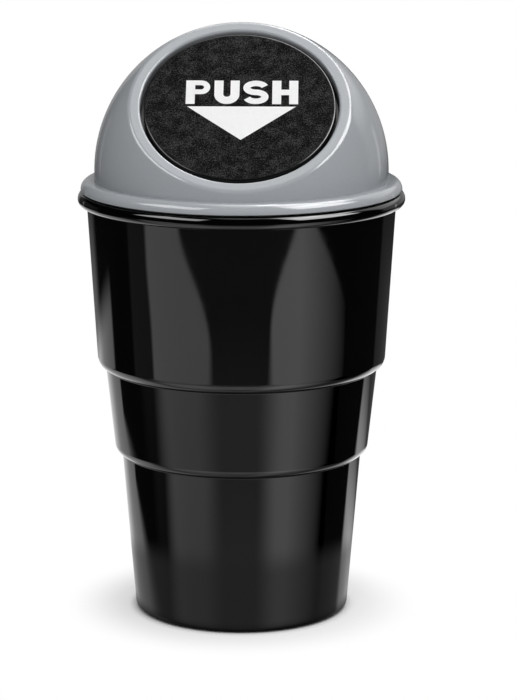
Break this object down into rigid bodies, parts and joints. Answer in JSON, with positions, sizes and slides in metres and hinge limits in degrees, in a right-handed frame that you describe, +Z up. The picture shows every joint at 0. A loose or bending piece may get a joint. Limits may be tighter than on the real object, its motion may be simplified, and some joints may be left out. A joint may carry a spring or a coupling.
{
  "type": "car trash bin",
  "caption": "Stepped cup-holder trash bin with a dome lid, a tilted round opening and a spring-loaded push flap.",
  "frame": {"origin": "middle of the base, on the surface it stands on", "axes": "+Z up along the cup's axis; the flap and its opening face -Y and up; +X is to the right of someone facing the flap"},
  "size_m": [0.1098, 0.1098, 0.1999],
  "materials": {
    "cup_plastic": "high gloss black",
    "lid_plastic": "glossy silver grey",
    "flap_plastic": "matte black, finely mottled",
    "pin_steel": "plain ground steel",
    "spring_steel": "drawn spring wire"
  },
  "bodies": {
    "bin": {"bin_body": "cup_plastic"},
    "lid": {"dome_lid": "lid_plastic", "hinge_pin": "pin_steel", "return_spring": "spring_steel"},
    "flap": {"flap": "flap_plastic"}
  },
  "joints": [
    {"name": "lid_lift", "type": "slide", "parent": "bin", "child": "lid", "axis": [0, 0, 1], "range_m": [0, 0.04]},
    {"name": "flap_hinge", "type": "hinge", "parent": "lid", "child": "flap", "pos_m": [0, 0.00216, 0.18923], "axis": [1, 0, 0], "range_deg": [0, 60], "stiffness_Nm_per_rad": 0.012, "springref_deg": -68.75, "deforming": ["return_spring"]}
  ]
}
